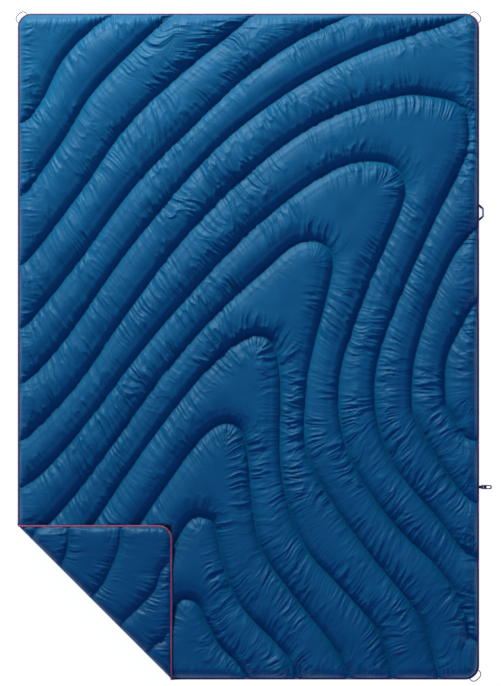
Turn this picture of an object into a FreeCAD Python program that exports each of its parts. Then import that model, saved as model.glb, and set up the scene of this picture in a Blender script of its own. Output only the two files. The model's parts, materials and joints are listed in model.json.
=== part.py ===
import FreeCAD
import Part
import Sketcher

import math
import os

# Quilted camp blanket, lying face up with one corner folded over onto the face.
# +X is to the right and +Y is towards the head. The shapes are drawn about the blanket's own centre,
# then set so that the origin is at the middle of the base of the whole object, clip included.
# Each layer is a face shell, a batting and a back shell, quilted together along the seams.

V = FreeCAD.Vector
doc = FreeCAD.newDocument("camp_blanket")

SHEET_VALUES = [
    ("blanket_width", 1320.0),
    ("blanket_length", 1905.0),
    ("corner_radius", 40.0),
    ("loft", 28.0),
    ("fabric", 1.0),
    ("seam_web", 3.0),
    ("valley_slope", 2.2),
    ("edge_slope", 30.0),
    ("fold_leg", 443.0),
    ("fold_gap", 1.0),
    ("crease_clearance", 1.5),
    ("binding_width", 2.0),
    ("binding_height", 4.0),
    ("cord_diameter", 2.5),
    ("loop_position", 383.0),
    ("loop_span", 47.0),
    ("loop_reach", 14.0),
    ("loop_band", 6.0),
    ("loop_foot_gap", 1.2),
    ("loop_thickness", 1.6),
    ("clip_position", -402.0),
    ("clip_tape_width", 8.0),
    ("clip_tape_reach", 7.0),
    ("clip_pin_radius", 1.5),
    ("clip_sleeve_radius", 2.6),
    ("clip_pin_offset", 9.0),
    ("clip_length", 27.0),
    ("clip_width", 12.0),
    ("clip_thickness", 7.0),
    ("running_gap", 0.4),
]

sheet = doc.addObject("Spreadsheet::Sheet", "dimensions")
for row, (alias, value) in enumerate(SHEET_VALUES, start=1):
    sheet.set("A%d" % row, alias)
    sheet.set("B%d" % row, str(value))
    sheet.setAlias("B%d" % row, alias)
doc.recompute()


def dim(name):
    """The driving dimension of that name."""
    return float(sheet.get(name))


HALF_WIDTH = dim("blanket_width") / 2
HALF_LENGTH = dim("blanket_length") / 2
LOFT = dim("loft")
MIDDLE = LOFT / 2
FABRIC = dim("fabric")
FOLD_LEG = dim("fold_leg")
FOLD_HEIGHT = LOFT + dim("fold_gap") / 2
BINDING = dim("binding_width")
CORD = dim("cord_diameter")
SETTING = V(-(dim("clip_pin_offset") + dim("clip_length")) / 2, 0, 0)

# The quilting seams, drawn on the open blanket from the left or upper end to the right or lower end.
# Seams 1 to 5 cross the upper left, 6 to 12 are the nested peaks, 13 and 14 are on the right edge.
SEAMS = [
    [(-690, 650), (-645, 640), (-590, 705), (-530, 820), (-445, 910), (-330, 985)],
    [(-690, 440), (-645, 435), (-540, 575), (-452, 718), (-345, 833), (-250, 922), (-160, 990)],
    [(-690, 240), (-640, 240), (-482, 440), (-358, 618), (-205, 770), (-50, 897), (40, 965), (110, 1010)],
    [(-690, 55), (-635, 65), (-490, 238), (-330, 455), (-167, 623), (-5, 775), (155, 884), (300, 950), (390, 1010)],
    [(-690, -110), (-640, -100), (-530, 15), (-330, 295), (-100, 560), (98, 718), (290, 826), (480, 898),
     (600, 935), (720, 1000)],
    [(-690, -265), (-640, -262), (-490, -107), (-338, 110), (-158, 341), (53, 541), (241, 661), (433, 718),
     (527, 715), (595, 695), (628, 648), (618, 541), (527, 353), (412, 96), (365, -57), (366, -200),
     (418, -344), (532, -480), (622, -588), (700, -610)],
    [(-690, -400), (-640, -397), (-558, -327), (-444, -193), (-301, -4), (-176, 141), (-24, 304), (147, 447),
     (270, 518), (362, 531), (420, 512), (448, 460), (432, 385), (357, 211), (296, 50), (261, -80),
     (262, -215), (310, -358), (418, -510), (539, -630), (618, -752), (634, -830), (700, -850)],
    [(-700, -575), (-620, -548), (-501, -427), (-358, -236), (-232, -64), (-90, 96), (53, 227), (127, 290),
     (187, 304), (225, 285), (242, 240), (225, 150), (187, 5), (164, -125), (165, -296), (238, -444),
     (353, -601), (475, -752), (527, -873), (550, -1010)],
    [(-700, -655), (-610, -655), (-540, -626), (-452, -518), (-367, -390), (-244, -218), (-119, -64),
     (-20, 20), (41, 32), (76, -5), (92, -113), (90, -301), (110, -440), (167, -581), (276, -701),
     (367, -809), (405, -920), (425, -1010)],
    [(-700, -805), (-610, -803), (-524, -770), (-452, -712), (-310, -504), (-233, -390), (-139, -264),
     (-73, -218), (-25, -235), (-3, -301), (9, -430), (38, -581), (139, -724), (233, -844), (276, -920),
     (300, -1010)],
    [(-610, -1010), (-540, -928), (-470, -895), (-370, -795), (-281, -675), (-196, -532), (-167, -493),
     (-139, -484), (-104, -498), (-90, -541), (-72, -618), (-24, -738), (76, -844), (118, -901), (160, -1010)],
    [(-400, -1010), (-355, -945), (-300, -880), (-240, -790), (-205, -733), (-182, -718), (-147, -733),
     (-118, -790), (-81, -855), (-33, -904), (40, -1010)],
    [(700, 355), (650, 340), (595, 275), (555, 198), (518, 113), (490, 27), (471, -54), (467, -153),
     (481, -216), (561, -353), (632, -438), (700, -450)],
    [(700, 135), (648, 128), (607, 60), (575, -5), (562, -64), (564, -155), (590, -210), (625, -262),
     (700, -268)],
]


def offset_path(points, distance):
    """Straight runs a fixed distance to one side of the runs through the points, with mitred corners."""
    path = [V(x, y, 0) for x, y in points]
    shifted = []
    for i, here in enumerate(path):
        back = (here - path[max(i - 1, 0)]) if i else (path[1] - here)
        ahead = (path[i + 1] - here) if i + 1 < len(path) else back
        back.normalize()
        ahead.normalize()
        mean = (back + ahead).normalize()
        side = V(-mean.y, mean.x, 0)
        shifted.append(here + side * (distance / mean.dot(ahead)))
    return shifted


def strip_section(points, half_width, height):
    """For each point of a seam, the left and right edge of a strip along it, at one height."""
    lift = V(0, 0, height)
    left = offset_path(points, half_width)
    right = offset_path(points, -half_width)
    return [(a + lift, b + lift) for a, b in zip(left, right)]


def flat_face(*corners):
    """A flat face through three or four corners."""
    return Part.Face(Part.makePolygon(list(corners) + [corners[0]]))


def seam_valley(points):
    """The V-shaped valley that a seam pulls into the face, as a solid to cut away."""
    rise = LOFT + 1 - MIDDLE - dim("seam_web") / 2
    low = strip_section(points, 1.0, MIDDLE + dim("seam_web") / 2)
    high = strip_section(points, 1.0 + rise * dim("valley_slope"), LOFT + 1)
    faces = []
    for i in range(len(points) - 1):
        for section in (low, high):
            faces.append(flat_face(section[i][0], section[i][1], section[i + 1][1], section[i + 1][0]))
        for side in (0, 1):
            faces.append(flat_face(low[i][side], low[i + 1][side], high[i + 1][side], high[i][side]))
    for i in (0, -1):
        faces.append(flat_face(low[i][0], low[i][1], high[i][1], high[i][0]))
    shell = Part.makeShell(faces)
    shell.sewShape()
    return Part.makeSolid(Part.Shell(shell.Faces))


def rounded_outline(corners, height):
    """A closed wire through (x, y, radius) corners, with an arc at each corner that has a radius."""
    count = len(corners)
    ends = []
    edges = []
    for i, (x, y, radius) in enumerate(corners):
        here = V(x, y, height)
        before = V(corners[i - 1][0], corners[i - 1][1], height)
        after = V(corners[(i + 1) % count][0], corners[(i + 1) % count][1], height)
        back = (before - here).normalize()
        ahead = (after - here).normalize()
        half_turn = (math.pi - back.getAngle(ahead)) / 2
        reach = radius * math.tan(half_turn)
        arc_start = here + back * reach
        arc_end = here + ahead * reach
        bisector = (back + ahead).normalize()
        centre = here + bisector * (radius / math.cos(half_turn))
        arc_middle = centre - bisector * radius
        ends.append((arc_start, arc_end))
        edges.append(Part.Arc(arc_start, arc_middle, arc_end).toShape())
    wire = []
    for i in range(count):
        wire.append(edges[i])
        wire.append(Part.makeLine(ends[i][1], ends[(i + 1) % count][0]))
    return Part.Wire(wire)


def inset_corners(corners, distance):
    """The same corners, moved in square to both of their sides. The corners run anticlockwise."""
    count = len(corners)
    moved = []
    for i, (x, y, radius) in enumerate(corners):
        here = V(x, y, 0)
        back = (V(corners[i - 1][0], corners[i - 1][1], 0) - here).normalize()
        ahead = (V(corners[(i + 1) % count][0], corners[(i + 1) % count][1], 0) - here).normalize()
        half_angle = back.getAngle(ahead) / 2
        inward = (back + ahead).normalize() * (distance / math.sin(half_angle))
        moved.append((x + inward.x, y + inward.y, max(radius - distance, 1.0)))
    return moved


# Both outlines are of the open blanket. The crease line runs between them at 45 degrees.
CREASE = dim("crease_clearance") * math.sqrt(2)
MAIN_CORNERS = [
    (-HALF_WIDTH, HALF_LENGTH, dim("corner_radius")),
    (-HALF_WIDTH, -HALF_LENGTH + FOLD_LEG + CREASE, 3.0),
    (-HALF_WIDTH + FOLD_LEG + CREASE, -HALF_LENGTH, 3.0),
    (HALF_WIDTH, -HALF_LENGTH, dim("corner_radius")),
    (HALF_WIDTH, HALF_LENGTH, dim("corner_radius")),
]
FLAP_CORNERS = [
    (-HALF_WIDTH, -HALF_LENGTH + FOLD_LEG - CREASE, 2.5),
    (-HALF_WIDTH, -HALF_LENGTH, dim("corner_radius")),
    (-HALF_WIDTH + FOLD_LEG - CREASE, -HALF_LENGTH, 2.5),
]


def puffed_half(corners, valleys):
    """The upper half of one layer: flat-topped channels that slope down to the seams and the edge."""
    rim = inset_corners(corners, BINDING)
    top = inset_corners(corners, BINDING + dim("edge_slope"))
    rim_height = MIDDLE + dim("seam_web") / 2
    base = Part.Face(rounded_outline(rim, MIDDLE)).extrude(V(0, 0, rim_height - MIDDLE))
    crown = Part.makeLoft([rounded_outline(rim, rim_height), rounded_outline(top, LOFT)], True, True)
    return base.fuse(crown).removeSplitter().cut(valleys)


def layer_solids(corners, valleys):
    """The face shell, batting and back shell of one layer, lying flat and open."""
    outer = puffed_half(corners, valleys)
    sunk = outer.copy()
    sunk.translate(V(0, 0, -FABRIC))
    above_middle = Part.makeBox(2 * HALF_WIDTH, 2 * HALF_LENGTH, LOFT, V(-HALF_WIDTH, -HALF_LENGTH, MIDDLE))
    inner = sunk.common(above_middle)
    face = outer.cut(inner)
    mirrored_inner = inner.mirror(V(0, 0, MIDDLE), V(0, 0, 1))
    batting = inner.fuse(mirrored_inner).removeSplitter()
    back = face.mirror(V(0, 0, MIDDLE), V(0, 0, 1))
    return face, batting, back


def binding_ring(corners, open_side_point, open_side_normal):
    """The binding along the edge, left open along the crease."""
    low = MIDDLE - dim("binding_height") / 2
    outer = Part.Face(rounded_outline(corners, low)).extrude(V(0, 0, dim("binding_height")))
    inner = Part.Face(rounded_outline(inset_corners(corners, BINDING), low))
    ring = outer.cut(inner.extrude(V(0, 0, dim("binding_height"))))
    side = Part.makeBox(4 * HALF_LENGTH, 20, 4 * LOFT, V(-2 * HALF_LENGTH, -20, -LOFT))
    turn = math.degrees(math.atan2(open_side_normal.y, open_side_normal.x)) - 90
    side.rotate(V(0, 0, 0), V(0, 0, 1), turn)
    side.translate(open_side_point + open_side_normal * BINDING)
    return ring.cut(side)


def fold_over(shape):
    """Turns a piece of the open corner over onto the face, about the crease line."""
    folded = shape.copy()
    folded.rotate(V(-HALF_WIDTH, -HALF_LENGTH + FOLD_LEG, FOLD_HEIGHT), V(1, -1, 0), 180)
    return folded


def cord_tube(route, diameter):
    """A round tube along straight runs joined by tangent arcs."""
    edges = []
    at = route[0]
    radii = []
    for before, corner, after in zip(route, route[1:], route[2:]):
        back = before - corner
        ahead = after - corner
        half_turn = (math.pi - back.getAngle(ahead)) / 2
        reach = 0.45 * min(back.Length, ahead.Length)
        radius = reach / math.tan(half_turn)
        radii.append(radius)
        start = corner + V(back).normalize() * reach
        end = corner + V(ahead).normalize() * reach
        bisector = (V(back).normalize() + V(ahead).normalize()).normalize()
        middle = corner + bisector * (radius / math.cos(half_turn) - radius)
        edges.append(Part.LineSegment(at, start).toShape())
        edges.append(Part.Arc(start, middle, end).toShape())
        at = end
    edges.append(Part.LineSegment(at, route[-1]).toShape())
    path = Part.Wire(edges)
    ring = Part.Wire(Part.makeCircle(diameter / 2, route[0], route[1] - route[0]))
    tube = path.makePipeShell([ring], True, True)
    expected = path.Length * math.pi * diameter ** 2 / 4
    print("cord %.1f mm, smallest radius %.1f, volume ratio %.4f" % (path.Length, min(radii), tube.Volume / expected))
    return tube


# A corner loop, seen from above: along the edge, then outwards from the rounded corner.
CORNER_LOOP = [(-17.5, -4.2), (-18.6, 6.0), (-9.5, 12.6), (8.5, 13.2), (18.2, 6.2), (17.5, -4.2)]


def corner_loop_route(x_side, y_side):
    """The route of the cord loop at one corner of the open blanket."""
    outward = V(x_side, y_side, 0).normalize()
    along = V(-outward.y, outward.x, 0)
    radius = dim("corner_radius")
    centre = V(x_side * (HALF_WIDTH - radius), y_side * (HALF_LENGTH - radius), MIDDLE)
    tip = centre + outward * radius
    return [tip + along * u + outward * v for u, v in CORNER_LOOP]


def add_solid(name, shape):
    """One sub-part whose shape is worked out in code."""
    piece = doc.addObject("Part::Feature", name)
    piece.Shape = shape
    piece.Placement.Base = piece.Placement.Base + SETTING
    return piece


def origin_plane(body, role):
    """One of a body's own origin planes."""
    for feature in body.Origin.OriginFeatures:
        if feature.Role == role:
            return feature
    raise ValueError(role)


def bound_polygon(sketch, corners):
    """A closed polygon in a sketch. Each corner is a pair of expressions over the sheet's cells."""
    values = []
    for x_text, y_text in corners:
        values.append((float(sheet.evalExpression(x_text)), float(sheet.evalExpression(y_text))))
    count = len(corners)
    first = sketch.GeometryCount
    for i in range(count):
        start = V(values[i][0], values[i][1], 0)
        end = V(values[(i + 1) % count][0], values[(i + 1) % count][1], 0)
        sketch.addGeometry(Part.LineSegment(start, end), False)
    for i in range(count):
        sketch.addConstraint(Sketcher.Constraint("Coincident", first + i, 2, first + (i + 1) % count, 1))
    for i, (texts, numbers) in enumerate(zip(corners, values)):
        for kind, text, number in zip(("DistanceX", "DistanceY"), texts, numbers):
            index = sketch.addConstraint(Sketcher.Constraint(kind, -1, 1, first + i, 1, number))
            sketch.setExpression("Constraints[%d]" % index, in_sheet(text))


def in_sheet(text):
    """An expression over the sheet's own cells, as another object has to write it."""
    for alias, value in sorted(SHEET_VALUES, key=lambda pair: -len(pair[0])):
        text = text.replace(alias, "dimensions." + alias)
    return text


def pad_body(name, polygons, height_text, centre):
    """A flat piece: polygons in the XY plane, padded evenly about that plane and moved to centre."""
    body = doc.addObject("PartDesign::Body", name)
    sketch = body.newObject("Sketcher::SketchObject", name + "_outline")
    sketch.AttachmentSupport = [(origin_plane(body, "XY_Plane"), "")]
    sketch.MapMode = "FlatFace"
    for corners in polygons:
        bound_polygon(sketch, corners)
    pad = body.newObject("PartDesign::Pad", name + "_pad")
    pad.Profile = sketch
    pad.Midplane = True
    pad.setExpression("Length", in_sheet(height_text))
    body.Placement.Base = centre
    return body


def bound_cylinder(name, radius_text, length_text, centre):
    """A cylinder along Y, centred on a point, with its size bound to the sheet."""
    length = float(sheet.evalExpression(length_text))
    cylinder = doc.addObject("Part::Cylinder", name)
    cylinder.setExpression("Radius", in_sheet(radius_text))
    cylinder.setExpression("Height", in_sheet(length_text))
    cylinder.Placement = FreeCAD.Placement(centre + V(0, length / 2, 0), FreeCAD.Rotation(V(1, 0, 0), 90))
    return cylinder


def boolean(kind, name, base, tool):
    """A Part boolean of two objects."""
    result = doc.addObject("Part::" + kind, name)
    result.Base = base
    result.Tool = tool
    return result


def side_loop():
    """The flat webbing loop on the right edge: a band bent into three straight runs."""
    half_span = "loop_span / 2"
    half_flat = "loop_span / 4"
    inner_foot = "loop_span / 2 - 1.4 * loop_band"
    inner_flat = "loop_span / 4 - loop_band / 2"
    inner_reach = "loop_reach - loop_band"
    corners = [
        ("loop_foot_gap", "-(%s)" % half_span),
        ("loop_reach", "-(%s)" % half_flat),
        ("loop_reach", half_flat),
        ("loop_foot_gap", half_span),
        ("loop_foot_gap", inner_foot),
        (inner_reach, inner_flat),
        (inner_reach, "-(%s)" % inner_flat),
        ("loop_foot_gap", "-(%s)" % inner_foot),
    ]
    centre = V(HALF_WIDTH, dim("loop_position"), MIDDLE) + SETTING
    return pad_body("side_loop", [corners], "loop_thickness", centre)


def clip_tape(pin_centre):
    """The sewn-in tape that holds the clip: a flat tail and a turned-over end round the clip's pin."""
    tail = doc.addObject("Part::Box", "clip_tape_tail")
    tail.setExpression("Length", "dimensions.clip_tape_reach")
    tail.setExpression("Width", "dimensions.clip_tape_width")
    tail.setExpression("Height", "dimensions.loop_thickness")
    low_corner = V(0, -dim("clip_tape_width") / 2, -dim("loop_thickness") / 2)
    tail.Placement.Base = V(HALF_WIDTH, dim("clip_position"), MIDDLE) + low_corner + SETTING
    sleeve = bound_cylinder("clip_tape_turn", "clip_sleeve_radius", "clip_tape_width", pin_centre)
    bore = bound_cylinder("clip_tape_bore", "clip_pin_radius + 0.08", "clip_tape_width + 2", pin_centre)
    return boolean("Cut", "clip_tape", boolean("Fuse", "clip_tape_strip", tail, sleeve), bore)


def clip_body(pin_centre):
    """The moulded clip: two cheeks that hold the pin, and a tongue with an eye through it."""
    half = "clip_width / 2"
    cheek = "clip_tape_width / 2 + running_gap"
    back = "-clip_sleeve_radius - running_gap"
    yoke = "clip_sleeve_radius + 2 * running_gap"
    tip = "clip_length"
    outline = [
        (back, "-(%s)" % half),
        (tip + " - 3", "-(%s)" % half),
        (tip, "-(%s) + 3" % half),
        (tip, "%s - 3" % half),
        (tip + " - 3", half),
        (back, half),
        (back, cheek),
        (yoke, cheek),
        (yoke, "-(%s)" % cheek),
        (back, "-(%s)" % cheek),
    ]
    eye = [
        ("clip_length - 15", "-clip_width / 4"),
        ("clip_length - 4", "-clip_width / 4"),
        ("clip_length - 4", "clip_width / 4"),
        ("clip_length - 15", "clip_width / 4"),
    ]
    body = pad_body("clip_moulding", [outline, eye], "clip_thickness", pin_centre)
    hole = bound_cylinder("clip_pin_hole", "clip_pin_radius", "clip_width + 2", pin_centre)
    return boolean("Cut", "clip_body", body, hole)


valleys = [seam_valley(seam) for seam in SEAMS]
layers = (("", MAIN_CORNERS, False), ("_corner", FLAP_CORNERS, True))
crease_middle = V(-HALF_WIDTH + FOLD_LEG / 2, -HALF_LENGTH + FOLD_LEG / 2, 0)
towards_main = V(1, 1, 0).normalize()
pieces = []
for suffix, corners, folded in layers:
    face, batting, back = layer_solids(corners, valleys)
    sign = -1 if folded else 1
    edge_point = crease_middle + towards_main * (sign * dim("crease_clearance"))
    ring = binding_ring(corners, edge_point, towards_main * sign)
    for name, shape in (("face_shell", face), ("fill_batting", batting), ("back_shell", back), ("edge_binding", ring)):
        shape = fold_over(shape) if folded else shape
        pieces.append(add_solid(name + suffix, shape))

for name, x_side, y_side in (("upper_left", -1, 1), ("upper_right", 1, 1), ("lower_right", 1, -1)):
    pieces.append(add_solid("cord_loop_" + name, cord_tube(corner_loop_route(x_side, y_side), CORD)))
folded_loop = fold_over(cord_tube(corner_loop_route(-1, -1), CORD))
pieces.append(add_solid("cord_loop_folded_corner", folded_loop))

pin_centre = V(HALF_WIDTH + dim("clip_pin_offset"), dim("clip_position"), MIDDLE) + SETTING
pieces.append(side_loop())
pieces.append(clip_tape(pin_centre))
pieces.append(clip_body(pin_centre))
pieces.append(bound_cylinder("clip_pin", "clip_pin_radius", "clip_width", pin_centre))
doc.recompute()

for thing in doc.Objects:
    for problem in ("Invalid", "Error"):
        if problem in thing.State:
            raise RuntimeError("%s is %s" % (thing.Label, problem))
os.makedirs("parts", exist_ok=True)
for piece in pieces:
    solid = piece.Shape
    if solid.isNull() or not solid.isValid() or not solid.Solids:
        raise RuntimeError("%s has no valid solid" % piece.Label)
    print("%-26s solids %d  faces %d  volume %.0f" % (
        piece.Label, len(solid.Solids), len(solid.Faces), solid.Volume))
    solid.exportStep("parts/%s.step" % piece.Label)
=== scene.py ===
import bpy
import json
import math
import numpy as np
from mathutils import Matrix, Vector
from mathutils.kdtree import KDTree


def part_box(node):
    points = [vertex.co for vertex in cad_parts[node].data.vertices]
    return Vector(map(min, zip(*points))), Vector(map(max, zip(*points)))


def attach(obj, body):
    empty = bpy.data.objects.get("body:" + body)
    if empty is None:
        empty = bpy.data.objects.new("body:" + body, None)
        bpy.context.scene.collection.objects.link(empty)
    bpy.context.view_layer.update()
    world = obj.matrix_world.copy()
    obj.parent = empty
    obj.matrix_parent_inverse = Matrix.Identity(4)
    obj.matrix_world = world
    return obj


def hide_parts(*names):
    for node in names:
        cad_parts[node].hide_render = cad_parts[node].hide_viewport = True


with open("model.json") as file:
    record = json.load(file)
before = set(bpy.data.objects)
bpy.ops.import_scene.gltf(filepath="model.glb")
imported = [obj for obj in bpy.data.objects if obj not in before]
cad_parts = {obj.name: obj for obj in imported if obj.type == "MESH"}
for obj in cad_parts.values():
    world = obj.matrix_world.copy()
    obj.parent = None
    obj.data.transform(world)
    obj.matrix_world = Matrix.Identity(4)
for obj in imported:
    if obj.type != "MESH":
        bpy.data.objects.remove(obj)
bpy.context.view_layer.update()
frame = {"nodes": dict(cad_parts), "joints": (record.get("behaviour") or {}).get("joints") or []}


def joint_named(name):
    """The frame's joint of that name."""
    return next(joint for joint in frame["joints"] if joint["name"] == name)


# The blanket is drawn flat and open about its own centre, in metres, then its corner is folded over.
BOX_LOW, BOX_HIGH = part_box("edge_binding")
HALF_W = (BOX_HIGH.x - BOX_LOW.x) / 2
HALF_L = (BOX_HIGH.y - BOX_LOW.y) / 2
CENTRE_X = (BOX_HIGH.x + BOX_LOW.x) / 2
MIDDLE = (BOX_HIGH.z + BOX_LOW.z) / 2
LOFT = 2 * MIDDLE
HINGE = joint_named("corner_fold")
CREASE_Z = HINGE["pos_m"][2]
FOLD_LEG = HINGE["pos_m"][1] + HALF_L
CORNER_R = 0.040
# The row of stitches along the edge, this far in from it.
TOPSTITCH = 0.0058
# How far from a seam its channel goes on rising, and how far its folds run.
CHANNEL_REACH = 0.085
FOLD_REACH = 0.080
# The heights of the puffs and folds: on the face, on the back of the folded corner, and on the back below.
FACE_PUFF = 0.0262
FACE_FOLD = 0.0040
FLAP_BACK_PUFF = 0.0172
FLAP_BACK_FOLD = 0.0038
GROUND_BACK_PUFF = 0.018
GROUND_BACK_FOLD = 0.0026
# The back stands off freely up to the first height, and then by at most the second more.
BACK_FREE = 0.0138
BACK_GIVE = 0.004
# The least gap between cloths that face each other across the crease, and over the floor.
CLOTH_GAP = 0.0004
# The wavelengths of the folds along a seam and along the edge.
SEAM_FOLD_WAVE = 0.0078
EDGE_FOLD_WAVE = 0.0085
# How far the folded corner's puffs reach past its outline, and how steeply the face rises from there.
FLAP_OVERHANG = 0.0085
FLAP_RISE = 1.1
# Each stitch line's spacing of points, and its stitches' length and thickness.
SEAM_STEP = 0.003
SEAM_STITCH = (0.0028, 0.0007)
EDGE_STEP = 0.0035
EDGE_STITCH = (0.0032, 0.0009)
TAPE_STEP = 0.004
# Quads along the folded corner's leg, in the cloths that are seen and in those that aren't.
FINE = 204
COARSE = 102
rng = np.random.RandomState(7)

# The quilting seams' routes on the open blanket, in mm about its centre. Each runs on past the edge.
SEAMS_MM = [
    [(-690, 650), (-645, 640), (-590, 705), (-530, 820), (-445, 910), (-330, 985)],
    [(-690, 440), (-645, 435), (-540, 575), (-452, 718), (-345, 833), (-250, 922), (-160, 990)],
    [(-690, 240), (-640, 240), (-482, 440), (-358, 618), (-205, 770), (-50, 897), (40, 965), (110, 1010)],
    [(-690, 55), (-635, 65), (-490, 238), (-330, 455), (-167, 623), (-5, 775), (155, 884), (300, 950), (390, 1010)],
    [(-690, -110), (-640, -100), (-530, 15), (-330, 295), (-100, 560), (98, 718), (290, 826), (480, 898),
     (600, 935), (720, 1000)],
    [(-690, -265), (-640, -262), (-490, -107), (-338, 110), (-158, 341), (53, 541), (241, 661), (433, 718),
     (527, 715), (595, 695), (628, 648), (618, 541), (527, 353), (412, 96), (365, -57), (366, -200),
     (418, -344), (532, -480), (622, -588), (700, -610)],
    [(-690, -400), (-640, -397), (-558, -327), (-444, -193), (-301, -4), (-176, 141), (-24, 304), (147, 447),
     (270, 518), (362, 531), (420, 512), (448, 460), (432, 385), (357, 211), (296, 50), (261, -80),
     (262, -215), (310, -358), (418, -510), (539, -630), (618, -752), (634, -830), (700, -850)],
    [(-700, -575), (-620, -548), (-501, -427), (-358, -236), (-232, -64), (-90, 96), (53, 227), (127, 290),
     (187, 304), (225, 285), (242, 240), (225, 150), (187, 5), (164, -125), (165, -296), (238, -444),
     (353, -601), (475, -752), (527, -873), (550, -1010)],
    [(-700, -655), (-610, -655), (-540, -626), (-452, -518), (-367, -390), (-244, -218), (-119, -64),
     (-20, 20), (41, 32), (76, -5), (92, -113), (90, -301), (110, -440), (167, -581), (276, -701),
     (367, -809), (405, -920), (425, -1010)],
    [(-700, -805), (-610, -803), (-524, -770), (-452, -712), (-310, -504), (-233, -390), (-139, -264),
     (-73, -218), (-25, -235), (-3, -301), (9, -430), (38, -581), (139, -724), (233, -844), (276, -920),
     (300, -1010)],
    [(-610, -1010), (-540, -928), (-470, -895), (-370, -795), (-281, -675), (-196, -532), (-167, -493),
     (-139, -484), (-104, -498), (-90, -541), (-72, -618), (-24, -738), (76, -844), (118, -901), (160, -1010)],
    [(-400, -1010), (-355, -945), (-300, -880), (-240, -790), (-205, -733), (-182, -718), (-147, -733),
     (-118, -790), (-81, -855), (-33, -904), (40, -1010)],
    [(700, 355), (650, 340), (595, 275), (555, 198), (518, 113), (490, 27), (471, -54), (467, -153),
     (481, -216), (561, -353), (632, -438), (700, -450)],
    [(700, 135), (648, 128), (607, 60), (575, -5), (562, -64), (564, -155), (590, -210), (625, -262),
     (700, -268)],
]


# ---------------------------------------------------------------- objects
def add_object(name, data):
    """A new object in the scene."""
    made = bpy.data.objects.new(name, data)
    bpy.context.scene.collection.objects.link(made)
    return made


def smooth_piece(name, verts, faces):
    """A new object from points and faces, shaded smooth."""
    mesh = bpy.data.meshes.new(name)
    mesh.from_pydata(verts, [], faces)
    mesh.shade_smooth()
    return add_object(name, mesh)


# ---------------------------------------------------------------- camera and light
def add_camera():
    """Straight above the blanket, with a long lens."""
    height = 9.0
    view_height = 1.959
    sensor = 36.0
    data = bpy.data.cameras.new("camera")
    data.sensor_width = sensor
    data.lens = sensor * (height - LOFT) / view_height
    camera = add_object("camera", data)
    camera.location = (CENTRE_X + 0.006, 0.010, height)
    bpy.context.scene.camera = camera


def add_area(name, location, size, power, colour):
    """A soft square light that faces the blanket's middle."""
    data = bpy.data.lights.new(name, "AREA")
    data.size = size
    data.energy = power
    data.color = colour
    light = add_object(name, data)
    light.location = location
    light.rotation_euler = (-Vector(location)).to_track_quat("-Z", "Y").to_euler()


def add_stage():
    """A white floor under the blanket, and a deep blue sky that fills its shadows."""
    reach = 12
    mesh = bpy.data.meshes.new("floor")
    mesh.from_pydata([(-reach, -reach, 0), (reach, -reach, 0), (reach, reach, 0), (-reach, reach, 0)],
                     [], [(0, 1, 2, 3)])
    floor = add_object("floor", mesh)
    material, shader = new_material("floor")
    shader.inputs["Base Color"].default_value = (0.25, 0.25, 0.25, 1)
    shader.inputs["Roughness"].default_value = 0.9
    shader.inputs["Emission Color"].default_value = (1, 1, 1, 1)
    shader.inputs["Emission Strength"].default_value = 0.96
    mesh.materials.append(material)
    world = bpy.data.worlds.new("sky")
    bpy.context.scene.world = world
    world.use_nodes = True
    background = world.node_tree.nodes["Background"]
    background.inputs["Color"].default_value = (0.10, 0.16, 0.40, 1)
    background.inputs["Strength"].default_value = 1.2


# ---------------------------------------------------------------- materials
def new_material(name):
    """A new material and its Principled shader."""
    material = bpy.data.materials.new(name)
    material.use_nodes = True
    return material, material.node_tree.nodes["Principled BSDF"]


def node(material, kind, **values):
    """A node in a material, with its inputs set by name."""
    made = material.node_tree.nodes.new(kind)
    for key, value in values.items():
        made.inputs[key].default_value = value
    return made


def link(material, source, target):
    """Joins one node's output to another's input."""
    material.node_tree.links.new(source, target)


def two_colours(material, source, low, dark, high, light):
    """A colour that goes from one to another as a value goes from low to high."""
    tint = material.node_tree.nodes.new("ShaderNodeValToRGB")
    for stop, position, colour in zip(tint.color_ramp.elements, (low, high), (dark, light)):
        stop.position = position
        stop.color = (*colour, 1)
    link(material, source, tint.inputs["Fac"])
    return tint.outputs["Color"]


def uneven_gloss(material, shader, source, low, high):
    """A roughness that varies with a value."""
    spread = node(material, "ShaderNodeMapRange")
    spread.inputs["To Min"].default_value = low
    spread.inputs["To Max"].default_value = high
    link(material, source, spread.inputs["Value"])
    link(material, spread.outputs["Result"], shader.inputs["Roughness"])


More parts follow.
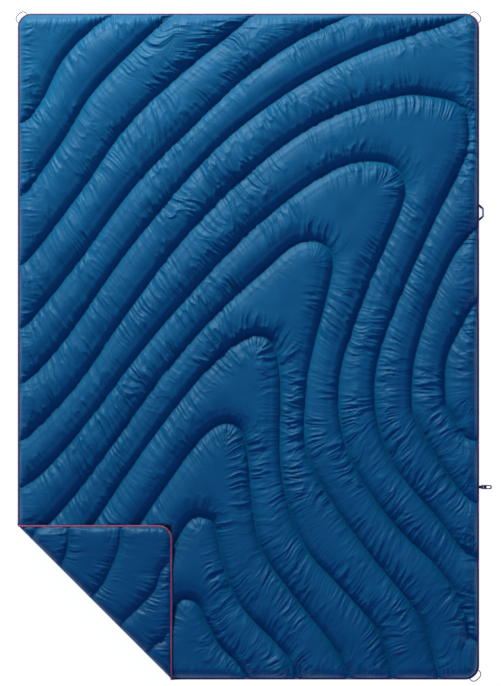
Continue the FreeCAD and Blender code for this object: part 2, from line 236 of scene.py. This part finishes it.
def ripstop(name, dark, light, roughness):
    """Thin coated nylon: a fine square grid of thicker threads, small crinkles and uneven dye."""
    material, shader = new_material(name)
    place = node(material, "ShaderNodeTexCoord")
    patches = node(material, "ShaderNodeTexNoise", Scale=9.0, Detail=3.0, Roughness=0.6)
    link(material, place.outputs["Object"], patches.inputs["Vector"])
    link(material, two_colours(material, patches.outputs["Fac"], 0.3, dark, 0.7, light),
         shader.inputs["Base Color"])
    uneven_gloss(material, shader, patches.outputs["Fac"], roughness - 0.06, roughness + 0.08)
    crinkle = node(material, "ShaderNodeTexNoise", Scale=120.0, Detail=4.0, Roughness=0.62, Distortion=0.6)
    link(material, place.outputs["Object"], crinkle.inputs["Vector"])
    last = node(material, "ShaderNodeBump", Strength=0.35, Distance=0.0012)
    link(material, crinkle.outputs["Fac"], last.inputs["Height"])
    for direction in ("X", "Y"):
        threads = material.node_tree.nodes.new("ShaderNodeTexWave")
        threads.bands_direction = direction
        threads.wave_profile = "SAW"
        threads.inputs["Scale"].default_value = 62.0
        link(material, place.outputs["Object"], threads.inputs["Vector"])
        raised = node(material, "ShaderNodeBump", Strength=0.25, Distance=0.0003)
        link(material, threads.outputs["Fac"], raised.inputs["Height"])
        link(material, last.outputs["Normal"], raised.inputs["Normal"])
        last = raised
    link(material, last.outputs["Normal"], shader.inputs["Normal"])
    shader.inputs["Specular IOR Level"].default_value = 0.36
    shader.inputs["Specular Tint"].default_value = (0.55, 0.85, 1.0, 1)
    return material


def woven(name, colour, fleck, scale, roughness, amount):
    """Braid or tape: a woven bump and lighter flecks."""
    material, shader = new_material(name)
    place = node(material, "ShaderNodeTexCoord")
    cells = node(material, "ShaderNodeTexVoronoi", Scale=scale)
    link(material, place.outputs["Object"], cells.inputs["Vector"])
    spots = node(material, "ShaderNodeTexNoise", Scale=scale * 0.8, Detail=2.0)
    link(material, place.outputs["Object"], spots.inputs["Vector"])
    flecked = two_colours(material, spots.outputs["Fac"], 1 - amount, colour, min(1.0, 1.08 - amount), fleck)
    link(material, flecked, shader.inputs["Base Color"])
    bump = node(material, "ShaderNodeBump", Strength=0.6, Distance=0.0004)
    link(material, cells.outputs["Distance"], bump.inputs["Height"])
    link(material, bump.outputs["Normal"], shader.inputs["Normal"])
    shader.inputs["Roughness"].default_value = roughness
    return material


def webbing_with_painted_shade(name, end, middle, share):
    """Flat webbing whose two ends are darkened with painted shade for their folds, and whose middle run is paler as a
    painted highlight.
    """
    material = woven(name, middle, tuple(1.35 * value for value in middle), 1500.0, 0.8, 0.45)
    shader = next(part for part in material.node_tree.nodes if part.type == "BSDF_PRINCIPLED")
    weave = shader.inputs["Base Color"].links[0].from_socket
    place = node(material, "ShaderNodeTexCoord")
    split = node(material, "ShaderNodeSeparateXYZ")
    link(material, place.outputs["Generated"], split.inputs["Vector"])
    away = node(material, "ShaderNodeMath")
    away.operation = "SUBTRACT"
    away.inputs[1].default_value = 0.5
    link(material, split.outputs["Y"], away.inputs[0])
    size = node(material, "ShaderNodeMath")
    size.operation = "ABSOLUTE"
    link(material, away.outputs["Value"], size.inputs[0])
    # The two ends take the dark colour as painted shade; the pale weave left on the middle run is a painted highlight.
    painted_shade_ends = node(material, "ShaderNodeMath")
    painted_shade_ends.operation = "GREATER_THAN"
    painted_shade_ends.inputs[1].default_value = share / 2
    link(material, size.outputs["Value"], painted_shade_ends.inputs[0])
    mixed = material.node_tree.nodes.new("ShaderNodeMix")
    mixed.data_type = "RGBA"
    mix_factor, mix_first, mix_second, mix_result = mixed.inputs[0], mixed.inputs[6], mixed.inputs[7], mixed.outputs[2]
    mix_second.default_value = (*end, 1)
    link(material, painted_shade_ends.outputs["Value"], mix_factor)
    link(material, weave, mix_first)
    link(material, mix_result, shader.inputs["Base Color"])
    return material


def moulded(name, colour, roughness, metallic):
    """Moulded plastic or drawn wire, with a faint texture."""
    material, shader = new_material(name)
    place = node(material, "ShaderNodeTexCoord")
    grain = node(material, "ShaderNodeTexNoise", Scale=900.0, Detail=3.0)
    link(material, place.outputs["Object"], grain.inputs["Vector"])
    uneven_gloss(material, shader, grain.outputs["Fac"], roughness - 0.08, roughness + 0.08)
    bump = node(material, "ShaderNodeBump", Strength=0.3, Distance=0.0002)
    link(material, grain.outputs["Fac"], bump.inputs["Height"])
    link(material, bump.outputs["Normal"], shader.inputs["Normal"])
    shader.inputs["Base Color"].default_value = (*colour, 1)
    shader.inputs["Metallic"].default_value = metallic
    return material


# ---------------------------------------------------------------- the seams
def smooth_line(points, step):
    """Evenly spaced points on a smooth curve through the given ones, with their distance along it."""
    points = np.array(points, float)
    ends = np.vstack([2 * points[0] - points[1], points, 2 * points[-1] - points[-2]])
    line = []
    for a, b, c, d in zip(ends, ends[1:], ends[2:], ends[3:]):
        for t in np.linspace(0, 1, 40, endpoint=False):
            line.append(0.5 * (2 * b + (c - a) * t + (2 * a - 5 * b + 4 * c - d) * t ** 2
                               + (3 * b - a - 3 * c + d) * t ** 3))
    line = np.array(line + [points[-1]])
    along = np.concatenate([[0], np.cumsum(np.linalg.norm(np.diff(line, axis=0), axis=1))])
    at = np.arange(0, along[-1], step)
    return np.column_stack([np.interp(at, along, line[:, k]) for k in (0, 1)]), at


SEAMS = [smooth_line(np.array(seam) / 1000, SEAM_STEP) for seam in SEAMS_MM]
FIELD_STEP = 0.0075
FIELD_X = np.linspace(-HALF_W, HALF_W, int(2 * HALF_W / FIELD_STEP) + 1)
FIELD_Y = np.linspace(-HALF_L, HALF_L, int(2 * HALF_L / FIELD_STEP) + 1)


def seam_fields():
    """For each seam, the signed distance to it and the distance along it, over a coarse grid."""
    fields = []
    for line, along in SEAMS:
        tree = KDTree(len(line))
        for i, (x, y) in enumerate(line):
            tree.insert((x, y, 0), i)
        tree.balance()
        tangent = np.gradient(line, axis=0)
        tangent /= np.linalg.norm(tangent, axis=1)[:, None]
        nearest = np.array([[tree.find((x, y, 0))[1] for x in FIELD_X] for y in FIELD_Y])
        gx, gy = np.meshgrid(FIELD_X, FIELD_Y)
        dx = gx - line[nearest, 0]
        dy = gy - line[nearest, 1]
        tx = tangent[nearest, 0]
        ty = tangent[nearest, 1]
        side = np.where(tx * dy - ty * dx >= 0, 1.0, -1.0)
        fields.append((side * np.hypot(dx, dy), along[nearest] + dx * tx + dy * ty, tx, ty))
    return fields


def sample(field, x, y):
    """A coarse grid's value at any points, by bilinear interpolation."""
    u = np.clip((x + HALF_W) / (2 * HALF_W) * (len(FIELD_X) - 1), 0, len(FIELD_X) - 1.001)
    v = np.clip((y + HALF_L) / (2 * HALF_L) * (len(FIELD_Y) - 1), 0, len(FIELD_Y) - 1.001)
    i = u.astype(int)
    j = v.astype(int)
    u = u - i
    v = v - j
    low = field[j, i] * (1 - u) + field[j, i + 1] * u
    high = field[j + 1, i] * (1 - u) + field[j + 1, i + 1] * u
    return low * (1 - v) + high * v


NOISE_TABLE = rng.rand(256, 256)


def noise(u, v, seed=0):
    """Smooth noise from -1 to 1 over a plane."""
    u = u + 37.3 * seed
    v = v + 19.7 * seed
    i = np.floor(u).astype(int)
    j = np.floor(v).astype(int)
    fu = u - i
    fv = v - j
    fu = fu * fu * (3 - 2 * fu)
    fv = fv * fv * (3 - 2 * fv)

    def at(a, b):
        return NOISE_TABLE[a % 256, b % 256]

    low = at(i, j) * (1 - fu) + at(i + 1, j) * fu
    high = at(i, j + 1) * (1 - fu) + at(i + 1, j + 1) * fu
    return 2 * (low * (1 - fv) + high * fv) - 1


def ramp(value, low, high):
    """0 below low, 1 above high, smooth between."""
    t = np.clip((value - low) / (high - low), 0, 1)
    return t * t * (3 - 2 * t)


FIELDS = seam_fields()


def edge_distance(x, y):
    """The distance in from the blanket's rounded outline, and the place along the edge.

    Each side and corner starts its places at a number of its own, so that their folds differ.
    """
    in_x = HALF_W - np.abs(x)
    in_y = HALF_L - np.abs(y)
    corner = (in_x < CORNER_R) & (in_y < CORNER_R)
    round_in = CORNER_R - np.hypot(CORNER_R - in_x, CORNER_R - in_y)
    distance = np.where(corner, round_in, np.minimum(in_x, in_y))
    turn = np.arctan2(CORNER_R - in_x, np.maximum(CORNER_R - in_y, 1e-6)) * 0.06
    along = np.where(in_x < in_y, np.sign(x) * 5 + y, np.sign(y) * 9 + x)
    return np.maximum(distance, 0), np.where(corner, turn + np.sign(x) * 3 + np.sign(y) * 7, along)


def creases(phase, away, seed, wave):
    """Sharp folds that run away from a stitched line, uneven in size and in groups."""
    phase = phase + 0.005 * noise(phase / 0.045, away / 0.035, seed + 3)
    broad = noise(phase / (1.9 * wave), away / 0.085, seed)
    ridged = (1 - np.abs(noise(phase / (1.5 * wave), away / 0.070, seed + 2))) ** 3
    thin = (1 - np.abs(noise(phase / wave, away / 0.045, seed + 6))) ** 4
    groups = 0.25 + 1.0 * ramp(noise(phase / 0.085, away / 0.13, seed + 4), -0.5, 0.5)
    return groups * (0.45 * broad + 0.85 * (ridged - 0.3) + 0.45 * (thin - 0.25))


def fall(x, y):
    """How strongly the folds are pulled towards the foot of the blanket, or along its head."""
    head = 1 - ramp(HALF_L - y, 0.02, 0.32)
    side = 1 - ramp(HALF_W + x, 0.02, 0.40)
    return 0.40 + 0.9 * side - 0.9 * head + 0.75 * noise(x / 0.11, y / 0.11, 9)


def crown_height(left, right):
    """The round rise of a channel between its seams, as a share of the full height."""
    room_left = np.minimum(left, CHANNEL_REACH)
    room_right = np.minimum(right, CHANNEL_REACH)
    width = room_left + room_right
    share = room_left / np.maximum(width, 1e-6)
    return np.clip(4 * share * (1 - share), 0, 1) ** 0.80 * np.clip(width / 0.10, 0.35, 1.12)


def seam_rooms(x, y):
    """The distance to the nearest seam on each side."""
    left = np.full(x.shape, 1.0)
    right = np.full(x.shape, 1.0)
    for distance_field, *_ in FIELDS:
        distance = sample(distance_field, x, y)
        away = np.abs(distance)
        left = np.where(distance >= 0, np.minimum(left, away), left)
        right = np.where(distance < 0, np.minimum(right, away), right)
    return left, right


def blurred(field, times):
    """A coarse grid smoothed over its neighbours."""
    for _ in range(times):
        padded = np.pad(field, 1, mode="edge")
        field = sum(padded[i:i + field.shape[0], j:j + field.shape[1]]
                    for i in range(3) for j in range(3)) / 9
    return field


SOFT_CROWN = blurred(crown_height(*seam_rooms(*np.meshgrid(FIELD_X, FIELD_Y))), 5)


def puff(x, y, height, crease_height, seed):
    """How far the cloth stands off the quilt's middle plane at each point of the open blanket."""
    left, right = seam_rooms(x, y)
    # The folds on both sides of each seam.
    wrinkle = np.zeros(x.shape)
    pull = fall(x, y)
    for i, (distance_field, along_field, tangent_x, tangent_y) in enumerate(FIELDS):
        distance = sample(distance_field, x, y)
        near = np.abs(distance) < FOLD_REACH
        if near.any():
            px, py = x[near], y[near]
            off = np.abs(distance[near])
            side = np.sign(distance[near])
            tx = sample(tangent_x, px, py)
            ty = sample(tangent_y, px, py)
            down = pull[near] * np.clip(-2.5 * side * tx, -1, 1)
            lean = -down * ty / np.maximum(1 - down * side * tx, 0.4)
            phase = sample(along_field, px, py) - np.clip(lean, -1.2, 1.2) * off
            strength = ramp(off, 0.0, 0.010) * (1 - ramp(off, 0.4 * FOLD_REACH, FOLD_REACH))
            wrinkle[near] += strength * creases(phase, off, seed + 11 * i + 5 * (side > 0), SEAM_FOLD_WAVE)
    # The channels' round rise, which comes down to the sewn edge.
    edge, edge_along = edge_distance(x, y)
    nearest = np.minimum(left, right)
    soft = ramp(nearest, 0.016, 0.034)
    crown = crown_height(left, right) * (1 - soft) + sample(SOFT_CROWN, x, y) * soft
    rise = np.sqrt(np.clip(1 - (1 - np.clip((edge - TOPSTITCH) / 0.030, 0, 1)) ** 2, 0, 1))
    body = height * crown * rise
    # The folds along the edge, and low lumps all over.
    edge_wrinkle = creases(edge_along, edge, seed + 301, EDGE_FOLD_WAVE)
    edge_strength = ramp(edge, TOPSTITCH, TOPSTITCH + 0.006) * (1 - ramp(edge, 0.03, 0.085))
    edge_strength = edge_strength * (1.6 - 0.9 * ramp(nearest, 0.0, 0.035))
    lumps = 0.045 * height * noise(x / 0.05, y / 0.05, seed + 77) * ramp(nearest, 0.01, 0.04) * rise
    busy = 1 + 0.55 * np.exp(-(x / 0.32) ** 2) * ramp(y, -0.45, -0.05)
    folds = crease_height * busy * (wrinkle * rise ** 0.5 + edge_strength * edge_wrinkle)
    hem = 0.0009 * (1 - ramp(edge, TOPSTITCH, TOPSTITCH + 0.004))
    return np.maximum(body + lumps + folds, CLOTH_GAP) + hem


# ---------------------------------------------------------------- the quilt
def grid_lines(half, fine_steps, rest_steps):
    """Grid lines across the blanket: even over the folded corner's leg, then over the rest."""
    leg = np.linspace(-half, -half + FOLD_LEG, fine_steps + 1)
    rest = np.linspace(-half + FOLD_LEG, half, rest_steps + 1)
    return np.concatenate([leg, rest[1:]])


def round_corners(x, y):
    """Pulls the corners of a rectangular grid in to the rounded outline."""
    u = np.clip((np.abs(x) - (HALF_W - CORNER_R)) / CORNER_R, 0, 1)
    v = np.clip((np.abs(y) - (HALF_L - CORNER_R)) / CORNER_R, 0, 1)
    rounded_x = HALF_W - CORNER_R + CORNER_R * u * np.sqrt(1 - v * v / 2)
    rounded_y = HALF_L - CORNER_R + CORNER_R * v * np.sqrt(1 - u * u / 2)
    corner = (u > 0) & (v > 0)
    return np.where(corner, np.sign(x) * rounded_x, x), np.where(corner, np.sign(y) * rounded_y, y)


def crease_offset(x, y):
    """How far a point lies on the main side of the crease, square to it."""
    return (x + HALF_W + y + HALF_L - FOLD_LEG) / math.sqrt(2)


def folded(co):
    """Points of the open corner, turned over about the crease."""
    turned = co.copy()
    turned[:, 0] = FOLD_LEG - HALF_W - HALF_L - co[:, 1]
    turned[:, 1] = FOLD_LEG - HALF_L - HALF_W - co[:, 0]
    turned[:, 2] = 2 * CREASE_Z - co[:, 2]
    return turned


def flap_shadow(x, y):
    """How far a point of the main part lies outside the folded corner's puffed footprint."""
    beyond_x = x - (-HALF_W + FOLD_LEG)
    beyond_y = y - (-HALF_L + FOLD_LEG)
    return np.maximum(np.maximum(beyond_x, beyond_y) + FLAP_OVERHANG, 0)


def crease_bend(offset):
    """How far the cloth has come round from the crease to lying level, from 0 to 1."""
    return np.sqrt(np.clip(1 - (1 - np.clip(offset / CREASE_Z, 0, 1)) ** 2, 0, 1))


def layer_height(x, y, up, on_flap):
    """The height of one cloth at each point of the open blanket: the face if up, or the back."""
    offset = np.abs(crease_offset(x, y))
    bend = crease_bend(offset)
    if up:
        stand = puff(x, y, FACE_PUFF, FACE_FOLD, 1)
        cap = CREASE_Z - CLOTH_GAP - MIDDLE
        if not on_flap:
            cap = cap + FLAP_RISE * flap_shadow(x, y)
        stand = np.minimum(stand, cap)
        z = MIDDLE + stand
        sewn = 1 - ramp(edge_distance(x, y)[0], 0.002, 0.030)
        return CREASE_Z + (z - CREASE_Z) * (bend * sewn + ramp(offset, 0, 0.03) * (1 - sewn))
    height, crease_height = (FLAP_BACK_PUFF, FLAP_BACK_FOLD) if on_flap else (GROUND_BACK_PUFF, GROUND_BACK_FOLD)
    stand = puff(x, y, height, crease_height, 401)
    eased = BACK_FREE + BACK_GIVE * (1 - np.exp((BACK_FREE - stand) / BACK_GIVE))
    stand = np.where(stand > BACK_FREE, eased, stand)
    z = MIDDLE - stand
    if not on_flap:
        z = np.maximum(z, CLOTH_GAP)
    return CREASE_Z + (z - CREASE_Z) * bend


def set_in_place(co, on_flap):
    """Open-blanket points, folded over if they are the corner's, in the shared frame."""
    if on_flap:
        co = folded(co)
    co[:, 0] += CENTRE_X
    return co


def quilt_mesh(name, steps, up, on_flap):
    """One cloth of the quilt on one side of the crease, as a mesh."""
    xs = grid_lines(HALF_W, steps, round(steps * (2 * HALF_W - FOLD_LEG) / FOLD_LEG))
    ys = grid_lines(HALF_L, steps, round(steps * (2 * HALF_L - FOLD_LEG) / FOLD_LEG))
    i, j = np.meshgrid(np.arange(len(xs) - 1), np.arange(len(ys) - 1))
    i = i.ravel()
    j = j.ravel()
    row = len(xs)
    corners = [j * row + i, j * row + i + 1, (j + 1) * row + i + 1, (j + 1) * row + i]
    place = i + j
    inside = place < steps - 1 if on_flap else place > steps - 1
    faces = [list(face) for face in np.column_stack(corners)[inside]]
    on_crease = place == steps - 1
    for a, b, c, d in np.column_stack(corners)[on_crease]:
        faces.append([a, b, d] if on_flap else [b, c, d])
    used = np.unique(np.concatenate([np.array(face) for face in faces]))
    number = np.full(row * len(ys), -1)
    number[used] = np.arange(len(used))
    gx, gy = np.meshgrid(xs, ys)
    x, y = round_corners(gx.ravel()[used], gy.ravel()[used])
    faces = [[int(number[k]) for k in face] for face in faces]
    if not up:
        faces = [face[::-1] for face in faces]
    return smooth_piece(name, rest_on_quilt(x, y, up, on_flap).tolist(), faces)


def rest_on_quilt(x, y, up, on_flap):
    """Points on the cloth over open-blanket places, where they lie with the corner folded."""
    return set_in_place(np.column_stack([x, y, layer_height(x, y, up, on_flap)]), on_flap)


def add_stitches(name, co, normal_z, material, length, thickness):
    """Short raised stitches, one for every other gap between the points of each line."""
    verts = []
    faces = []
    for line in co:
        for a, b in zip(line[:-1:2], line[1::2]):
            a = Vector(a)
            b = Vector(b)
            if (b - a).length < 0.2 * length or (b - a).length > 2.5 * length:
                continue
            ahead = (b - a).normalized()
            middle = (a + b) / 2
            side = Vector((-ahead.y, ahead.x, 0)) * thickness / 2
            up = Vector((0, 0, normal_z * thickness * 0.45))
            first = len(verts)
            for share, swell in ((-0.5, 0.35), (-0.25, 1.0), (0.25, 1.0), (0.5, 0.35)):
                centre = middle + ahead * length * share
                verts += [centre - side * swell, centre + up * (swell + 0.4), centre + side * swell]
            for k in range(3):
                s = first + 3 * k
                faces += [(s, s + 3, s + 4, s + 1), (s + 1, s + 4, s + 5, s + 2), (s + 2, s + 5, s + 3, s)]
            faces += [(first, first + 1, first + 2), (first + 9, first + 11, first + 10)]
    piece = smooth_piece(name, [tuple(v) for v in verts], faces)
    piece.data.materials.append(material)
    return piece


def outline_points(inset, step):
    """Evenly spaced points along the open blanket's outline, clockwise from the crease's left end."""
    radius = max(CORNER_R - inset, 0.001)
    half_w = HALF_W - inset
    half_l = HALF_L - inset
    ring = []
    for sx, sy, start in ((-1, 1, 180), (1, 1, 90), (1, -1, 0), (-1, -1, -90)):
        for angle in np.linspace(start, start - 90, 19):
            turn = math.radians(angle)
            ring.append((sx * (half_w - radius) + radius * math.cos(turn),
                         sy * (half_l - radius) + radius * math.sin(turn)))
    ring = np.array(ring + [ring[0]])
    along = np.concatenate([[0], np.cumsum(np.linalg.norm(np.diff(ring, axis=0), axis=1))])
    at = np.linspace(0, along[-1], int(along[-1] / step))
    return np.column_stack([np.interp(at, along, ring[:, k]) for k in (0, 1)])


def split_by_crease(points, on_flap):
    """The runs of points that lie on one side of the crease, in order."""
    offset = crease_offset(points[:, 0], points[:, 1])
    keep = offset < -0.0005 if on_flap else offset > 0.0005
    runs = []
    run = []
    for point, kept in zip(points, keep):
        if kept:
            run.append(point)
        elif run:
            runs.append(run)
            run = []
    if run:
        runs.append(run)
    if len(runs) > 1 and keep[0] and keep[-1]:
        runs = [runs[-1] + runs[0][1:]] + runs[1:-1]
    return [np.array(run) for run in runs if len(run) > 3]


# The binding's section: how far in from the edge, and how far above the middle, going round the tape.
BINDING_SECTION = [
    (0.0028, 0.0017), (0.0012, 0.0023), (0.0002, 0.0017), (-0.0001, 0.0), (0.0002, -0.0019),
    (0.0014, -0.0029), (0.0036, -0.0031), (0.0054, -0.0028), (0.0053, -0.0018), (0.0024, 0.0),
]


def binding(name, on_flap, material):
    """The folded tape along the edge: narrow on the face and wide on the back."""
    verts = []
    faces = []
    count = len(BINDING_SECTION)
    for run in split_by_crease(outline_points(0.0, TAPE_STEP), on_flap):
        ahead = np.gradient(run, axis=0)
        ahead /= np.linalg.norm(ahead, axis=1)[:, None]
        inward = np.column_stack([ahead[:, 1], -ahead[:, 0]])
        first = len(verts)
        for k, (point, into) in enumerate(zip(run, inward)):
            wobble = 0.0003 * math.sin(k * 0.9) + 0.0002 * math.sin(k * 2.3)
            lift = (CREASE_Z - MIDDLE) * (1 - crease_bend(abs(crease_offset(*point))))
            for away, height in BINDING_SECTION:
                x, y = point + into * (away + wobble * (away > 0.002))
                verts.append((x, y, MIDDLE + lift + height))
        for k in range(len(run) - 1):
            for n in range(count):
                a = first + k * count + n
                b = first + k * count + (n + 1) % count
                faces.append((a, a + count, b + count, b))
        faces.append(tuple(range(first, first + count)))
        faces.append(tuple(reversed(range(first + (len(run) - 1) * count, first + len(run) * count))))
    piece = smooth_piece(name, set_in_place(np.array(verts), on_flap).tolist(), faces)
    piece.data.materials.append(material)
    return piece


# ---------------------------------------------------------------- cords and fittings
# A cord loop's route, in mm along and out from the tip of its corner.
CORD_DIAMETER = 0.0025
CORNER_LOOP_MM = [(-17.5, -4.2), (-18.6, 6.0), (-9.5, 12.6), (8.5, 13.2), (18.2, 6.2), (17.5, -4.2)]


def corner_loop(name, stands_for, x_side, y_side, on_flap, material):
    """The cord loop at one corner, as a smooth curve along its route."""
    outward = Vector((x_side, y_side, 0)).normalized()
    along = Vector((-outward.y, outward.x, 0))
    centre = Vector((x_side * (HALF_W - CORNER_R), y_side * (HALF_L - CORNER_R), MIDDLE))
    tip = centre + outward * CORNER_R
    route = np.array([tip + along * (u / 1000) + outward * (v / 1000) for u, v in CORNER_LOOP_MM])
    route = set_in_place(route, on_flap)
    data = bpy.data.curves.new(name, "CURVE")
    data.dimensions = "3D"
    data.bevel_depth = CORD_DIAMETER / 2
    data.bevel_resolution = 4
    data.resolution_u = 16
    data.use_fill_caps = True
    spline = data.splines.new("NURBS")
    spline.points.add(len(route) - 1)
    for point, place in zip(spline.points, route):
        point.co = (*place, 1)
    spline.order_u = 3
    spline.use_endpoint_u = True
    data.materials.append(material)
    piece = add_object(name, data)
    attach(piece, "folded_corner" if on_flap else "blanket")
    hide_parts(stands_for)


def loop_feet(name, material):
    """The two rolled ends of the side loop, on the line the loop flops about."""
    hinge_x, hinge_y, hinge_z = joint_named("side_loop_flop")["pos_m"]
    mesh = bpy.data.meshes.new(name)
    verts = []
    faces = []
    radius = 0.0011
    half_length = 0.0041
    foot_at = 0.0193
    sides = 12
    for middle in (-foot_at, foot_at):
        first = len(verts)
        for end in (-half_length, half_length):
            for k in range(sides):
                turn = 2 * math.pi * k / sides
                verts.append((hinge_x + radius * math.cos(turn), hinge_y + middle + end,
                              hinge_z + radius * math.sin(turn)))
        for k in range(sides):
            after = (k + 1) % sides
            faces.append((first + k, first + sides + k, first + sides + after, first + after))
        faces.append(tuple(range(first, first + sides)))
        faces.append(tuple(reversed(range(first + sides, first + 2 * sides))))
    mesh.from_pydata(verts, [], faces)
    mesh.materials.append(material)
    piece = add_object(name, mesh)
    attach(piece, "side_loop")


def dress_node(name, material, bevel):
    """A CAD node with its own finish and softened edges."""
    thing = frame["nodes"][name]
    thing.data.materials.clear()
    thing.data.materials.append(material)
    modifier = thing.modifiers.new("soft_edges", "BEVEL")
    modifier.width = bevel
    modifier.segments = 3
    modifier.limit_method = "ANGLE"


# ---------------------------------------------------------------- putting it together
add_camera()
add_area("key", (-1.35, 3.5, 1.85), 0.8, 196.0, (1.0, 0.99, 0.93))
add_stage()

face_cloth = ripstop("face_ripstop", (0.0004, 0.088, 0.190), (0.0010, 0.110, 0.222), 0.52)
back_cloth = ripstop("back_ripstop", (0.0004, 0.074, 0.170), (0.0010, 0.094, 0.200), 0.48)
tape = woven("binding_tape", (0.36, 0.055, 0.11), (0.50, 0.20, 0.28), 700.0, 0.75, 0.45)
cord_braid = woven("cord_braid", (0.016, 0.013, 0.032), (0.32, 0.32, 0.37), 1500.0, 0.7, 0.42)
# The side loop's webbing: painted shade on its two ends and a painted highlight along its middle run.
strap = webbing_with_painted_shade("grey_webbing", (0.020, 0.022, 0.050), (0.30, 0.31, 0.36), 0.49)
dark_strap = woven("dark_webbing", (0.035, 0.012, 0.045), (0.16, 0.035, 0.10), 1500.0, 0.8, 0.45)
plastic = moulded("clip_plastic", (0.016, 0.016, 0.045), 0.38, 0.0)
steel = moulded("pin_steel", (0.5, 0.5, 0.52), 0.35, 1.0)
thread = woven("navy_thread", (0.002, 0.020, 0.070), (0.004, 0.040, 0.110), 900.0, 0.7, 0.5)
edge_thread = woven("edge_thread", (0.07, 0.16, 0.34), (0.25, 0.20, 0.40), 900.0, 0.6, 0.5)

for on_flap, body in ((False, "blanket"), (True, "folded_corner")):
    suffix = "_corner" if on_flap else ""
    for up, cloth, kind in ((True, face_cloth, "face"), (False, back_cloth, "back")):
        seen = up != on_flap
        name = ("quilted_%s" % kind) + suffix
        piece = quilt_mesh(name, FINE if seen else COARSE, up, on_flap)
        piece.data.materials.append(cloth)
        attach(piece, body)
        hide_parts("%s_shell%s" % (kind, suffix))
        if up:
            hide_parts("fill_batting" + suffix)

for on_flap, body in ((False, "blanket"), (True, "folded_corner")):
    suffix = "_corner" if on_flap else ""
    edge = binding("edge_tape" + suffix, on_flap, tape)
    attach(edge, body)
    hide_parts("edge_binding" + suffix)
    for up, kind in ((True, "face"), (False, "back")):
        lines = []
        for line, _ in SEAMS:
            edge_in, _ = edge_distance(line[:, 0], line[:, 1])
            within = (np.abs(line[:, 0]) < HALF_W) & (np.abs(line[:, 1]) < HALF_L) & (edge_in > TOPSTITCH)
            for run in split_by_crease(line[within], on_flap):
                lines.append(rest_on_quilt(run[:, 0], run[:, 1], up, on_flap))
        above = 1 if up != on_flap else -1
        stitches = add_stitches("seam_stitches_%s%s" % (kind, suffix), lines, above, thread, *SEAM_STITCH)
        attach(stitches, body)
        lines = []
        for run in split_by_crease(outline_points(TOPSTITCH, EDGE_STEP), on_flap):
            lines.append(rest_on_quilt(run[:, 0], run[:, 1], up, on_flap))
        stitches = add_stitches("edge_stitches_%s%s" % (kind, suffix), lines, above, edge_thread, *EDGE_STITCH)
        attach(stitches, body)

corner_loop("corner_cord_upper_left", "cord_loop_upper_left", -1, 1, False, cord_braid)
corner_loop("corner_cord_upper_right", "cord_loop_upper_right", 1, 1, False, cord_braid)
corner_loop("corner_cord_lower_right", "cord_loop_lower_right", 1, -1, False, cord_braid)
corner_loop("corner_cord_folded_corner", "cord_loop_folded_corner", -1, -1, True, cord_braid)

loop_feet("side_loop_feet", dark_strap)
dress_node("side_loop", strap, 0.0004)
dress_node("clip_tape", dark_strap, 0.0003)
dress_node("clip_body", plastic, 0.0008)
dress_node("clip_pin", steel, 0.0002)

bpy.context.scene.view_settings.view_transform = "Standard"
